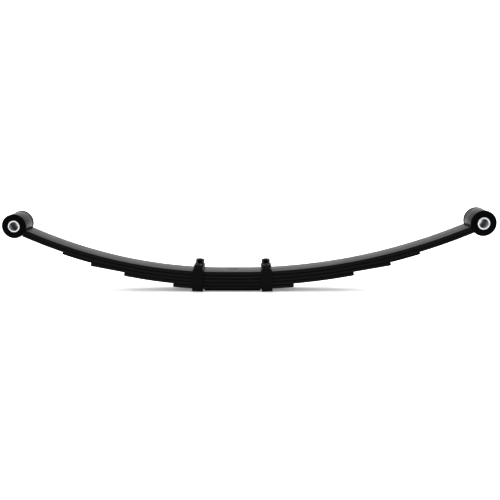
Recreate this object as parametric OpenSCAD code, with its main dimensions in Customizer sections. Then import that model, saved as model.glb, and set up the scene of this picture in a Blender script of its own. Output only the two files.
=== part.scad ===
// Five-leaf semi-elliptic leaf spring with flanged eye bushes and two rebound clamps.
// Frame: X along the spring (left eye at -X), Y across its width, +Z up.
// The origin is on the centre bolt's axis, in the flat underside of the seat plate.

/* [Leaves] */
// Width of every leaf
leaf_w = 63.5; // [45:0.5:90]
// Thickness of every leaf
leaf_t = 9; // [5:0.1:14]
// Paint gap between two leaves
leaf_gap = 0.25; // [0.1:0.05:1]
// Half length of the flat under the seat
flat_half = 25; // [0:1:60]
// Radius of the left arm, on the main leaf's top face
left_r = 1214; // [900:1:2500]
// Radius of the right arm, on the main leaf's top face
right_r = 1500; // [900:1:2500]
// How far the third leaf reaches to the left
left_tip_3 = 364; // [200:1:460]
// How far the third leaf reaches to the right
right_tip_3 = 408; // [200:1:520]
// How far the fourth leaf reaches to the left
left_tip_4 = 279; // [160:1:360]
// How far the fourth leaf reaches to the right
right_tip_4 = 313.5; // [160:0.5:400]
// How far the fifth leaf reaches to the left
left_tip_5 = 153.5; // [120:0.5:260]
// How far the fifth leaf reaches to the right
right_tip_5 = 159; // [120:0.5:280]
// Bevel on the lower corner of a leaf's tip
tip_bevel = 2.4; // [0.5:0.1:5]

/* [Eyes] */
// Distance from the centre bolt to the left eye
left_eye_x = 555; // [400:0.5:800]
// Distance from the centre bolt to the right eye
right_eye_x = 640; // [400:0.5:900]
// Inside radius of the left eye
left_eye_r = 20.8; // [14:0.1:26]
// Inside radius of the right eye
right_eye_r = 23; // [14:0.1:26]
// How far the left eye's centre stands above the leaf's mid-plane
left_eye_rise = 3.5; // [-5:0.1:20]
// How far the right eye's centre stands above the leaf's mid-plane
right_eye_rise = 1; // [-5:0.1:20]
// Straight end of the main leaf before each eye
eye_straight = 45; // [20:1:90]
// Fillet under the eye, where the roll leaves the leaf
eye_fillet = 8; // [4:0.5:20]
// Slit where the roll's end lies on the leaf
roll_slit = 0.8; // [0.3:0.1:2]

/* [Bushes and sleeves] */
// Outside radius of the left bush's flange
left_flange_r = 30.6; // [25:0.1:42]
// Outside radius of the right bush's flange
right_flange_r = 32.7; // [25:0.1:42]
// Outside radius of the left sleeve
left_sleeve_r = 15; // [10:0.1:20]
// Outside radius of the right sleeve
right_sleeve_r = 16; // [10:0.1:20]
// Bore radius of the left sleeve
left_bore_r = 11; // [6:0.1:15]
// Bore radius of the right sleeve
right_bore_r = 11.5; // [6:0.1:15]
// Distance between the outer faces of a bush's two flanges
flange_span = 73; // [68:0.1:90]
// Length of a sleeve
sleeve_len = 74.4; // [68:0.1:95]
// Radial running clearance of the sleeve, and of the bush in the eye
run_clear = 0.05; // [0.02:0.01:0.1]

/* [Rebound clamps] */
// Distance from the centre bolt to each clamp
clamp_x = 88; // [60:1:160]
// Width of the clamp's strap
strap_w = 27.5; // [18:0.5:45]
// Thickness of the clamp's strap
strap_t = 6.5; // [4:0.5:10]
// Outer bend radius of the strap's lower corners
strap_bend = 8; // [4:0.5:14]
// Clearance between the strap and the side of the pack
strap_side = 0.4; // [0.35:0.05:2]
// Thickness of the tie plate over the main leaf
tie_t = 7; // [4:0.5:12]
// Length of the tie plate across the spring
tie_len = 89; // [80:1:120]
// Radius of the strap's studs
stud_r = 6; // [4:0.5:8]
// Width of a clamp nut across its flats
nut_af = 19; // [13:1:24]
// Height of a clamp nut
nut_h = 12.5; // [8:0.5:20]

/* [Seat and centre bolt] */
// Thickness of the seat plate at the centre bolt
seat_t = 2.5; // [2:0.1:12]
// Half length of the seat plate
seat_half = 72; // [40:1:74]
// How far the seat plate stands out past each side of the leaves
seat_lip = 1.3; // [0.5:0.1:4]
// Radius of the centre bolt
bolt_r = 6; // [4:0.5:8]
// Radius of the centre bolt's countersunk head
head_r = 11.8; // [8:0.1:16]
// Radius of the locating spigot under the seat
spigot_r = 9; // [6:0.5:14]
// How far the locating spigot stands below the seat
spigot_h = 1.8; // [1:0.1:2]

/* [Tip liners] */
// Thickness of a liner past the third leaf's tip
liner_t = 5.2; // [3:0.1:8]
// How far the left liner reaches
left_liner_tip = 435; // [300:1:480]
// How far the right liner reaches
right_liner_tip = 481.5; // [300:0.5:560]
// Where the third leaf's left end starts to run straight
left_straight_3 = 260; // [200:1:350]
// Where the third leaf's right end starts to run straight
right_straight_3 = 292; // [200:1:400]

/* [Hidden] */
pitch = leaf_t + leaf_gap;
pack_h = 5 * leaf_t + 4 * leaf_gap;
top_z = seat_t + pack_h;
paint = [0.10, 0.10, 0.105];
rubber = [0.055, 0.055, 0.06];
steel = [0.72, 0.73, 0.75];
arc_fn = 360;
round_fn = 96;
seat_flats = 12;
liner_flats = 24;
liner_start = 0.7;
stud_y = leaf_w / 2 + strap_side + strap_t / 2;
bolt_hole_r = bolt_r + 0.3;
skim = 0.03;
bite = 0.05;
nut_clear = 0.08;
nib_x = 4.8;
nib_w = 14;
nib_top_w = 8;
nib_h = 7.4;
nib_out = 1.6;
tab_top_x = 40;
tab_low_x = 29;
tab_w = 3;
tab_up = 1.7;
nose_clear = 0.5;

// Angle, from straight down, of the point that stands x out on an arc of radius r
function at_x(x, r) = asin((x - flat_half) / r);

// Angle at which the main leaf's arc ends, so that its eye comes out at eye_x
function eye_angle(eye_x, r, rise) =
    asin((eye_x - flat_half) / norm([r + leaf_t / 2 - rise, eye_straight]))
    - atan2(eye_straight, r + leaf_t / 2 - rise);

// Centre of the fillet under an eye: below the main leaf's mid-plane, and back from the eye
fillet_v = skim + bite - leaf_t / 2 - eye_fillet;
function fillet_u(eye_r, rise) =
    sqrt(pow(eye_r + leaf_t + eye_fillet - bite, 2) - pow(rise - fillet_v, 2));

// ---------------------------------------------------------------- side view helpers
// Every profile is drawn for an arm that runs towards +X and is mirrored for the left one.

// Pulls a side-view profile out across the leaf's width
module across(w = leaf_w) {
    rotate([90, 0, 0]) linear_extrude(w, center = true) children();
}

// A wedge of the plane, from angle a0 to a1 about the arm's centre of curvature
module wedge(r, a0, a1) {
    reach = 1.2 * r;
    translate([flat_half, top_z + r])
        polygon([[0, 0], [reach * sin(a0), -reach * cos(a0)],
            [reach * sin(a1), -reach * cos(a1)]]);
}

// Part of a ring about the arm's centre of curvature, d below the main leaf's top face
module arc_band(r, d, t, a0, a1) {
    intersection() {
        translate([flat_half, top_z + r]) difference() {
            circle(r + d + t, $fn = arc_fn);
            circle(r + d, $fn = arc_fn);
        }
        wedge(r, a0, a1);
    }
}

// Moves to the point at angle a on the arc d below the main top face, with X along the leaf
module on_arc(r, d, a) {
    translate(arc_point(r, d, a)) rotate(a) children();
}

// The point at angle a on the arc d below the main leaf's top face
function arc_point(r, d, a) =
    [flat_half + (r + d) * sin(a), top_z + r - (r + d) * cos(a)];

// The half of the flat under the seat that belongs to this arm
module flat_band(d, t) {
    translate([0, top_z - d - t]) square([flat_half, t]);
}

// The bevel cut off the lower corner of a tip that ends here
module tip_cut() {
    translate([0, -leaf_t]) rotate(45)
        square([1.5 * tip_bevel, sqrt(2) * tip_bevel], center = true);
}

// A straight end that starts inside the arc's last millimetre, a hair thinner than the arc
module straight_end(len) {
    translate([-1, skim - leaf_t]) square([len + 1, leaf_t - 2 * skim]);
}

// One arm of a leaf that ends square, n leaves below the main leaf
module plain_arm(r, n, tip_x) {
    d = n * pitch;
    a = at_x(tip_x, r + d);
    flat_band(d, leaf_t);
    difference() {
        arc_band(r, d, leaf_t, 0, a);
        on_arc(r, d, a) tip_cut();
    }
}

// One arm of the third leaf, whose end runs straight
module straight_arm(r, n, from_x, tip_x) {
    d = n * pitch;
    a = at_x(from_x, r + d);
    flat_band(d, leaf_t);
    arc_band(r, d, leaf_t, 0, a);
    on_arc(r, d, a) difference() {
        straight_end((tip_x - from_x) / cos(a));
        translate([(tip_x - from_x) / cos(a), 0]) tip_cut();
    }
}

// One arm of the main leaf, with the eye rolled at its end
module eye_arm(r, eye_x, eye_r, rise) {
    a = eye_angle(eye_x, r, rise);
    out_r = eye_r + leaf_t;
    mid = leaf_t / 2;
    bend_u = eye_straight - fillet_u(eye_r, rise);
    flat_band(0, leaf_t);
    arc_band(r, 0, leaf_t, 0, a);
    on_arc(r, mid, a) difference() {
        union() {
            translate([0, mid]) straight_end(eye_straight);
            translate([eye_straight, rise]) circle(out_r, $fn = round_fn * 2);
            difference() {
                polygon([[eye_straight, rise], [bend_u, 0], [bend_u, fillet_v]]);
                translate([bend_u, fillet_v]) circle(eye_fillet, $fn = round_fn);
            }
        }
        translate([eye_straight, rise]) circle(eye_r, $fn = round_fn * 2);
        translate([eye_straight - out_r - 4, mid]) square([out_r, roll_slit]);
    }
}

// The hole for the centre bolt, through the whole pack
module bolt_hole() {
    translate([0, 0, -5]) cylinder(r = bolt_hole_r, h = top_z + 10, $fn = round_fn);
}

// ---------------------------------------------------------------- the leaves
module main_leaf() color(paint) difference() {
    across() {
        eye_arm(right_r, right_eye_x, right_eye_r, right_eye_rise);
        mirror([1, 0]) eye_arm(left_r, left_eye_x, left_eye_r, left_eye_rise);
    }
    bolt_hole();
    translate([0, 0, top_z - head_r + bolt_r]) cylinder(r1 = bolt_hole_r,
        r2 = head_r + 0.3 + 1, h = head_r - bolt_r + 1, $fn = round_fn);
}

// The second leaf ends in a rounded nose that lies in the fillet under each eye
module second_leaf() color(paint) difference() {
    across() {
        second_arm(right_r, right_eye_x, right_eye_r, right_eye_rise);
        mirror([1, 0]) second_arm(left_r, left_eye_x, left_eye_r, left_eye_rise);
    }
    bolt_hole();
}

// One arm of the second leaf: the main leaf's arc, then the same straight end
module second_arm(r, eye_x, eye_r, rise) {
    a = eye_angle(eye_x, r, rise);
    nose_u = eye_straight - fillet_u(eye_r, rise);
    nose_r = eye_fillet - nose_clear;
    flat_band(pitch, leaf_t);
    arc_band(r, pitch, leaf_t, 0, a);
    on_arc(r, pitch, a) {
        straight_end(nose_u);
        intersection() {
            translate([nose_u, fillet_v + pitch - leaf_t / 2])
                circle(nose_r, $fn = round_fn);
            translate([nose_u - 1, skim - leaf_t]) square([leaf_t + 1, leaf_t - 2 * skim]);
        }
    }
}

module third_leaf() color(paint) {
    difference() {
        across() {
            straight_arm(right_r, 2, right_straight_3, right_tip_3);
            mirror([1, 0]) straight_arm(left_r, 2, left_straight_3, left_tip_3);
        }
        bolt_hole();
    }
    translate([nib_x, -leaf_w / 2 + 0.1, top_z - 2 * pitch - leaf_t / 2]) nib();
}

// A locating nib on the third leaf's front edge, narrower at its top
module nib() {
    rotate([90, 0, 0]) linear_extrude(nib_out + 0.1)
        polygon([[-nib_w / 2, -nib_h / 2], [nib_w / 2, -nib_h / 2],
            [nib_top_w / 2, nib_h / 2], [-nib_top_w / 2, nib_h / 2]]);
}

module fourth_leaf() color(paint) difference() {
    across() {
        plain_arm(right_r, 3, right_tip_4);
        mirror([1, 0]) plain_arm(left_r, 3, left_tip_4);
    }
    bolt_hole();
}

module fifth_leaf() color(paint) difference() {
    across() {
        plain_arm(right_r, 4, right_tip_5);
        mirror([1, 0]) plain_arm(left_r, 4, left_tip_5);
    }
    bolt_hole();
}

// ---------------------------------------------------------------- tip liners
// A liner fills the gap over the third leaf's straight end and hooks down past its tip.
// Its moulded faces follow the arcs in short flats.
module liner_arm(r, from_x, leaf_tip_x, tip_x) {
    d2 = 2 * pitch - leaf_gap + 0.05;
    d3 = 2 * pitch;
    a = at_x(from_x, r + d3);
    len3 = (leaf_tip_x - from_x) / cos(a);
    a0 = a + liner_start;
    a1 = at_x(tip_x, r + d2);
    difference() {
        polygon([
            for (i = [0 : liner_flats])
                arc_point(r, d2, a0 + (a1 - a0) * i / liner_flats),
            for (i = [liner_flats : -1 : 0])
                arc_point(r, d2 + liner_t, a0 + (a1 - a0) * i / liner_flats)]);
        on_arc(r, d3, a) translate([-20, -3 * leaf_t + 0.1])
            square([len3 + 20.3, 3 * leaf_t]);
    }
}

module left_tip_liner() color(rubber) across()
    mirror([1, 0]) liner_arm(left_r, left_straight_3, left_tip_3, left_liner_tip);

module right_tip_liner() color(rubber) across()
    liner_arm(right_r, right_straight_3, right_tip_3, right_liner_tip);

// ---------------------------------------------------------------- seat and centre bolt
// The plate's top follows the fifth leaf in short flats and its underside is flat
module seat_half_profile(r) {
    under_r = r + pack_h + 0.02;
    end_a = at_x(seat_half, under_r);
    polygon([[-0.01, 0], [seat_half, 0],
        for (i = [seat_flats : -1 : 0]) arc_point(r, pack_h + 0.02, end_a * i / seat_flats),
        [-0.01, seat_t - 0.02]]);
}

// A slanted tab on the plate's edge that holds the side of the fifth leaf
module seat_tab() {
    polygon([[tab_top_x, seat_t + tab_up], [tab_top_x - tab_w, seat_t + tab_up],
        [tab_low_x - tab_w, 0], [tab_low_x, 0]]);
}

module seat_plate() color(paint) difference() {
    union() {
        across(leaf_w + 2 * seat_lip) {
            seat_half_profile(right_r);
            mirror([1, 0]) seat_half_profile(left_r);
        }
        for (side = [-1, 1])
            translate([0, side * (leaf_w / 2 + seat_lip - 0.55), 0]) across(1.1) {
                seat_tab();
                mirror([1, 0]) seat_tab();
            }
    }
    translate([0, 0, -5]) cylinder(r = spigot_r + 2.5, h = 30, $fn = round_fn);
}

// Countersunk bolt, flush with the main leaf's top face
module centre_bolt() color(paint) {
    translate([0, 0, -1]) cylinder(r = bolt_r, h = top_z - 0.2 + 1 - head_r + bolt_r + 0.1,
        $fn = round_fn);
    translate([0, 0, top_z - 0.2 - head_r + bolt_r]) cylinder(r1 = bolt_r, r2 = head_r,
        h = head_r - bolt_r, $fn = round_fn);
}

// Round nut whose lower step is the spigot that enters the axle's pad
module centre_nut() color(paint) difference() {
    union() {
        cylinder(r = spigot_r + 2, h = seat_t - 0.1, $fn = round_fn);
        translate([0, 0, -spigot_h]) cylinder(r = spigot_r, h = spigot_h + 0.5,
            $fn = round_fn);
    }
    translate([0, 0, -5]) cylinder(r = bolt_r + nut_clear, h = 20, $fn = round_fn);
}

// ---------------------------------------------------------------- rebound clamps

// Moves to the clamp on one arm: the origin is on the main leaf, +Z square to it
module at_clamp(side, r) {
    a = at_x(clamp_x, r);
    translate([side * clamp_x, 0, top_z + r * (1 - cos(a)) ])
        rotate([0, -side * a, 0]) children();
}

// A rectangle with round corners, standing on y = 0 and centred on x
module round_rect(w, h, r) {
    translate([-w / 2 + r, 0]) square([w - 2 * r, h]);
    translate([-w / 2, r]) square([w, h - 2 * r]);
    for (x = [-w / 2 + r, w / 2 - r]) for (y = [r, h - r])
        translate([x, y]) circle(r, $fn = round_fn);
}

// Flat bar bent round the pack, with a stud on each end
module clamp_strap() color(paint) {
    in_w = leaf_w + 2 * strap_side;
    out_w = in_w + 2 * strap_t;
    low = -pack_h - 0.3;
    rotate([90, 0, 90]) linear_extrude(strap_w, center = true) difference() {
        translate([0, low - strap_t]) round_rect(out_w, 2 * pack_h, strap_bend);
        translate([0, low]) round_rect(in_w, 3 * pack_h, 1);
        translate([-out_w, 0.2]) square([2 * out_w, 3 * pack_h]);
    }
    for (side = [-1, 1]) translate([0, side * stud_y, 0.1])
        cylinder(r = stud_r, h = tie_t + nut_h - 1.4, $fn = round_fn);
}

// Flat plate over the main leaf, held by the two nuts
module clamp_plate() color(paint) translate([0, 0, 0.3]) difference() {
    linear_extrude(tie_t) translate([0, -tie_len / 2]) round_rect(strap_w, tie_len, 4);
    for (side = [-1, 1]) translate([0, side * stud_y, -1])
        cylinder(r = stud_r + 0.5, h = tie_t + 2, $fn = round_fn);
}

// Tall hexagon nut on one stud: side is -1 for the front one and 1 for the rear one
module clamp_nut(side) color(paint) translate([0, side * stud_y, tie_t + 0.35])
    difference() {
        intersection() {
            cylinder(r = nut_af / sqrt(3), h = nut_h, $fn = 6);
            nut_chamfer();
        }
        translate([0, 0, -1]) cylinder(r = stud_r + nut_clear, h = nut_h + 2,
            $fn = round_fn);
    }

// The turned envelope that bevels a nut's corners
module nut_chamfer() {
    corner = nut_af / sqrt(3);
    flat = nut_af / 2;
    drop = (corner - flat) * 0.6;
    rotate_extrude($fn = round_fn)
        polygon([[0, 0], [flat, 0], [corner + 0.1, drop + 0.05],
            [corner + 0.1, nut_h - drop - 0.05], [flat, nut_h], [0, nut_h]]);
}

module left_clamp_strap() at_clamp(-1, left_r) clamp_strap();
module right_clamp_strap() at_clamp(1, right_r) clamp_strap();
module left_clamp_plate() at_clamp(-1, left_r) clamp_plate();
module right_clamp_plate() at_clamp(1, right_r) clamp_plate();
module left_clamp_nut_front() at_clamp(-1, left_r) clamp_nut(-1);
module left_clamp_nut_rear() at_clamp(-1, left_r) clamp_nut(1);
module right_clamp_nut_front() at_clamp(1, right_r) clamp_nut(-1);
module right_clamp_nut_rear() at_clamp(1, right_r) clamp_nut(1);

// ---------------------------------------------------------------- bushes and sleeves
// Moves to an eye's centre: the origin is on its axis, at the middle of its width
module at_eye(side, eye_x, r, rise) {
    a = eye_angle(eye_x, r, rise);
    rm = r + leaf_t / 2 - rise;
    translate([side * eye_x, 0, top_z + r - rm * cos(a) + eye_straight * sin(a)])
        children();
}

// Flanged half bush: face is -1 for the front half and 1 for the rear half
module bush_half(face, flange_r, eye_r, sleeve_r) color(rubber) {
    seat = leaf_w / 2 + 0.1;
    out = flange_span / 2;
    rotate([face > 0 ? -90 : 90, 0, 0]) rotate_extrude($fn = round_fn * 2)
        polygon([[sleeve_r + run_clear, 0.4], [eye_r - run_clear - 0.8, 0.4],
            [eye_r - run_clear, 1.2], [eye_r - run_clear, seat], [flange_r - 1, seat],
            [flange_r, seat + 1], [flange_r, out - 1.2], [flange_r - 1.2, out],
            [sleeve_r + run_clear, out]]);
}

// Steel tube that the bolt clamps: it turns in the bush
module sleeve(sleeve_r, bore_r) color(steel) rotate([90, 0, 0])
    rotate_extrude($fn = round_fn * 2)
        polygon([[bore_r, -sleeve_len / 2], [sleeve_r - 0.6, -sleeve_len / 2],
            [sleeve_r, -sleeve_len / 2 + 0.6], [sleeve_r, sleeve_len / 2 - 0.6],
            [sleeve_r - 0.6, sleeve_len / 2], [bore_r, sleeve_len / 2]]);

module at_left_eye() at_eye(-1, left_eye_x, left_r, left_eye_rise) children();
module at_right_eye() at_eye(1, right_eye_x, right_r, right_eye_rise) children();

module left_bush_front()
    at_left_eye() bush_half(-1, left_flange_r, left_eye_r, left_sleeve_r);
module left_bush_rear()
    at_left_eye() bush_half(1, left_flange_r, left_eye_r, left_sleeve_r);
module right_bush_front()
    at_right_eye() bush_half(-1, right_flange_r, right_eye_r, right_sleeve_r);
module right_bush_rear()
    at_right_eye() bush_half(1, right_flange_r, right_eye_r, right_sleeve_r);
module left_sleeve() at_left_eye() sleeve(left_sleeve_r, left_bore_r);
module right_sleeve() at_right_eye() sleeve(right_sleeve_r, right_bore_r);

main_leaf();
second_leaf();
third_leaf();
fourth_leaf();
fifth_leaf();
left_tip_liner();
right_tip_liner();
seat_plate();
centre_bolt();
centre_nut();
left_clamp_strap();
right_clamp_strap();
left_clamp_plate();
right_clamp_plate();
left_clamp_nut_front();
left_clamp_nut_rear();
right_clamp_nut_front();
right_clamp_nut_rear();
left_bush_front();
left_bush_rear();
right_bush_front();
right_bush_rear();
left_sleeve();
right_sleeve();
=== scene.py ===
# %% [markdown]
# # A leaf spring, piece by piece
# A leaf spring is a stack of curved steel strips that carries one end of a
# truck's axle. The longest strip is rolled into an eye at each end, and a rubber
# bush with a steel tube sits in each eye. This lesson builds every piece around a
# fixed CAD frame: the frame says where each piece goes and how it moves.

# %% The frame
import math

import bmesh
import bpy
from mathutils import Matrix, Vector


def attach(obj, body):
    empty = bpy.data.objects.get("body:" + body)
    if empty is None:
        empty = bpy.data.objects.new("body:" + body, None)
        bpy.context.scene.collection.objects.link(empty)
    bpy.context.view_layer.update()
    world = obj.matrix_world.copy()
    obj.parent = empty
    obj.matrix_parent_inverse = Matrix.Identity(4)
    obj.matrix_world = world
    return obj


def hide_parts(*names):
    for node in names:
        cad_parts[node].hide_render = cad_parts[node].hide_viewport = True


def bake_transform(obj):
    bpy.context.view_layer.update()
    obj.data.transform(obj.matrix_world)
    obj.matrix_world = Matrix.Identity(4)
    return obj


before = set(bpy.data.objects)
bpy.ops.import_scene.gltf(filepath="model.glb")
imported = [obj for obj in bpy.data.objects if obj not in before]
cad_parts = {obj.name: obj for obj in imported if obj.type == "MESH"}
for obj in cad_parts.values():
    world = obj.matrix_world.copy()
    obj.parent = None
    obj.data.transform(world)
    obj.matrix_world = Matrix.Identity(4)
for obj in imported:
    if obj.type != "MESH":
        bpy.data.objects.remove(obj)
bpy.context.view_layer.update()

# %% [markdown]
# ## The camera
# A long spring is best seen from the front and a little above, so that the top
# leaf's upper face shows as a band. The camera could be aimed with a constraint,
# but two lines of arithmetic keep it plain: a place and a pitch. It comes first,
# so that every later step can be looked at.

# %% The camera
CAMERA_AT = (0.0456, -1.906, 0.464)
CAMERA_PITCH = math.radians(10.8)
CAMERA_LENS, SENSOR_W = 53.59, 36.0
camera_data = bpy.data.cameras.new("studio_camera")
camera_data.lens = CAMERA_LENS
camera_data.sensor_width = SENSOR_W
camera = bpy.data.objects.new("studio_camera", camera_data)
camera.location = CAMERA_AT
camera.rotation_euler = (math.pi / 2 - CAMERA_PITCH, 0.0, 0.0)
bpy.context.collection.objects.link(camera)
bpy.context.scene.camera = camera
print("camera at", CAMERA_AT, "lens", camera_data.lens)

# %% [markdown]
# ## Sizes
# All sizes are in millimetres, as on a workshop drawing, and one factor turns
# them to metres when a mesh is made. The left arm is shorter and more curved than
# the right one, so each arm has its own row of sizes. `side` is -1 for the left
# arm and 1 for the right one throughout.

# %% Sizes
MM = 0.001
LEAF_COUNT = 5
LEAF_W, LEAF_T, LEAF_GAP = 63.5, 9.0, 0.25
LEAF_EDGE = 1.7
PITCH = LEAF_T + LEAF_GAP
PACK_H = LEAF_COUNT * LEAF_T + (LEAF_COUNT - 1) * LEAF_GAP
SEAT_T = 2.5
TOP_Z = SEAT_T + PACK_H
FLAT_HALF = 25.0
LEFT, RIGHT = -1, 1
SIDE_NAME = {LEFT: "left", RIGHT: "right"}
ARM_R = {LEFT: 1214.0, RIGHT: 1500.0}
EYE_ANGLE = {LEFT: math.radians(23.7224), RIGHT: math.radians(22.4190)}
EYE_STRAIGHT = 45.0
EYE_R = {LEFT: 20.8, RIGHT: 23.0}
EYE_RISE = {LEFT: 3.5, RIGHT: 1.0}
EYE_FILLET = 8.0
CLAMP_X = 88.0
MIDDLE = LEAF_T / 2
print("pack height", PACK_H, "top face at", TOP_Z)

# %% [markdown]
# ## Where an arm runs
# Every leaf follows circles about one centre per arm, so a point is named by its
# depth below the top leaf's upper face and its angle along the arm. The same
# two functions then place leaves, clamps and eyes, and nothing is typed twice.


# %% Points on an arm
def on_arm(side, depth, angle):
    """The point at an angle along an arm, depth below the top leaf's upper face."""
    radius = ARM_R[side] + depth
    return Vector((side * (FLAT_HALF + radius * math.sin(angle)), 0.0,
                   TOP_Z + ARM_R[side] - radius * math.cos(angle)))


def angle_at(side, depth, reach):
    """The angle at which an arm's circle is `reach` out from the centre bolt."""
    return math.asin((reach - FLAT_HALF) / (ARM_R[side] + depth))


def along(side, angle):
    """Unit vectors along the arm, outwards, and square to it, upwards."""
    return (Vector((side * math.cos(angle), 0.0, math.sin(angle))),
            Vector((-side * math.sin(angle), 0.0, math.cos(angle))))


CLAMP_ANGLE = {side: angle_at(side, 0.0, CLAMP_X) for side in (LEFT, RIGHT)}


def eye_centre(side):
    out, up = along(side, EYE_ANGLE[side])
    return (on_arm(side, MIDDLE, EYE_ANGLE[side]) + out * EYE_STRAIGHT
            + up * EYE_RISE[side])


for side in (LEFT, RIGHT):
    print(SIDE_NAME[side], "eye centre", [round(v, 2) for v in eye_centre(side)])

# %% [markdown]
# ## Adding a node
# Materials and Geometry Nodes are both trees of nodes. One small function adds a
# node, sets its properties, and fills or links its inputs, so a tree reads as a
# list of steps.


# %% Adding a node
def add(tree, kind, inputs=None, **settings):
    """Add a node. inputs maps a socket's name or number to a value or a socket."""
    node = tree.nodes.new(kind)
    for name, value in settings.items():
        setattr(node, name, value)
    for key, value in (inputs or {}).items():
        if isinstance(value, bpy.types.NodeSocket):
            tree.links.new(value, node.inputs[key])
        else:
            node.inputs[key].default_value = value
    return node


def linear(code):
    """An sRGB hex colour as linear RGBA."""
    channels = [int(code[i:i + 2], 16) / 255 for i in (1, 3, 5)]
    return [c / 12.92 if c <= 0.04045 else ((c + 0.055) / 1.055) ** 2.4
            for c in channels] + [1.0]


def new_material(name):
    """A new material, its tree of nodes, and its shader."""
    material = bpy.data.materials.new(name)
    material.use_nodes = True
    tree = material.node_tree
    return material, tree, tree.nodes["Principled BSDF"]


# %% [markdown]
# ## Finish: black chassis enamel
# The leaves are shot-peened spring steel under a sprayed black enamel. Peening
# leaves small shallow dimples, and spraying leaves orange peel, so the gloss
# breaks up softly. The peel is about 1 mm across on the real paint and is drawn
# at 2.5 mm, because a finer one would not show. A flat black would look like
# plastic: most of what the eye reads here is the gloss changing from place to
# place.


# %% Enamel
def enamel(name, dark, light, rough, peel_mm, dimple_mm, dimple_depth_mm,
           specular=0.11):
    """Sprayed paint over peened or forged steel. rough is (glossiest, dullest)."""
    material, tree, shader = new_material(name)
    place = add(tree, "ShaderNodeTexCoord").outputs["Object"]
    # the shade drifts over about 70 mm, and the gloss in streaks along the leaf
    cloud = add(tree, "ShaderNodeTexNoise", {
        "Vector": place, "Scale": 14.0, "Detail": 4.0, "Roughness": 0.6})
    tint = add(tree, "ShaderNodeMix", {
        0: cloud.outputs[0], 6: linear(dark), 7: linear(light)}, data_type="RGBA")
    tree.links.new(tint.outputs[2], shader.inputs["Base Color"])
    streak_place = add(tree, "ShaderNodeMapping", {
        "Vector": place, "Scale": (1.0, 12.0, 12.0)})
    streak = add(tree, "ShaderNodeTexNoise", {
        "Vector": streak_place.outputs[0], "Scale": 9.0, "Detail": 5.0})
    gloss = add(tree, "ShaderNodeMapRange", {
        0: streak.outputs[0], 1: 0.3, 2: 0.7, 3: rough[0], 4: rough[1]})
    tree.links.new(gloss.outputs[0], shader.inputs["Roughness"])
    peel = add(tree, "ShaderNodeTexNoise", {
        "Vector": place, "Scale": 1.0 / (peel_mm * MM), "Detail": 2.0})
    dimple = add(tree, "ShaderNodeTexVoronoi", {
        "Vector": place, "Scale": 1.0 / (dimple_mm * MM)}, feature="SMOOTH_F1")
    peel_bump = add(tree, "ShaderNodeBump", {
        "Height": peel.outputs[0], "Strength": 0.5, "Distance": 0.12 * MM})
    dimple_bump = add(tree, "ShaderNodeBump", {
        "Height": dimple.outputs["Distance"], "Strength": 0.5,
        "Distance": dimple_depth_mm * MM, "Normal": peel_bump.outputs[0]})
    tree.links.new(dimple_bump.outputs[0], shader.inputs["Normal"])
    shader.inputs["Specular IOR Level"].default_value = specular
    return material


leaf_enamel = enamel("black_enamel_on_peened_spring_steel", "#050506", "#0a0a0b",
                     (0.27, 0.38), 2.5, 1.6, 0.10)
clamp_enamel = enamel("black_enamel_on_forged_steel", "#040404", "#080808",
                      (0.34, 0.48), 2.0, 3.0, 0.16, 0.08)
print("enamels:", leaf_enamel.name, clamp_enamel.name)

# %% [markdown]
# ## Finish: blackened fasteners
# Clamp nuts, studs and the centre nut are phosphated black under a little paint.
# The phosphate is a fine, dull crystal, so it is a rougher black than the enamel,
# a touch lighter, with no peel to see. The enamel's function makes it too, with
# smaller and shallower marks.

# %% Blackened fasteners
fastener_black = enamel("black_phosphated_steel", "#060608", "#0e0e0f",
                        (0.38, 0.55), 0.9, 0.7, 0.05)
print("fasteners:", fastener_black.name)

# %% [markdown]
# ## Finish: moulded rubber
# The bushes are black rubber, pressed in a steel mould. The mould was turned on a
# lathe, and its fine rings show on the flange as circles about the bolt. Their
# height comes from the distance to the eye's centre, so each eye has its own copy
# with its own centre.


# %% Moulded rubber
def distance_from(tree, centre):
    """Object coordinates, and their distance in metres from an axis along Y."""
    place = add(tree, "ShaderNodeTexCoord").outputs["Object"]
    moved = add(tree, "ShaderNodeMapping", {
        "Vector": place, "Location": tuple(-v * MM for v in centre)})
    flat = add(tree, "ShaderNodeVectorMath", {
        0: moved.outputs[0], 1: (1.0, 0.0, 1.0)}, operation="MULTIPLY")
    return place, add(tree, "ShaderNodeVectorMath", {0: flat.outputs[0]},
                      operation="LENGTH").outputs["Value"]


def ridges(tree, distance, pitch_mm):
    """Fine ridges that repeat every pitch along a distance."""
    phase = add(tree, "ShaderNodeMath", {
        0: distance, 1: 2 * math.pi / (pitch_mm * MM)}, operation="MULTIPLY")
    return add(tree, "ShaderNodeMath", {0: phase.outputs[0]},
               operation="SINE").outputs[0]


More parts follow.
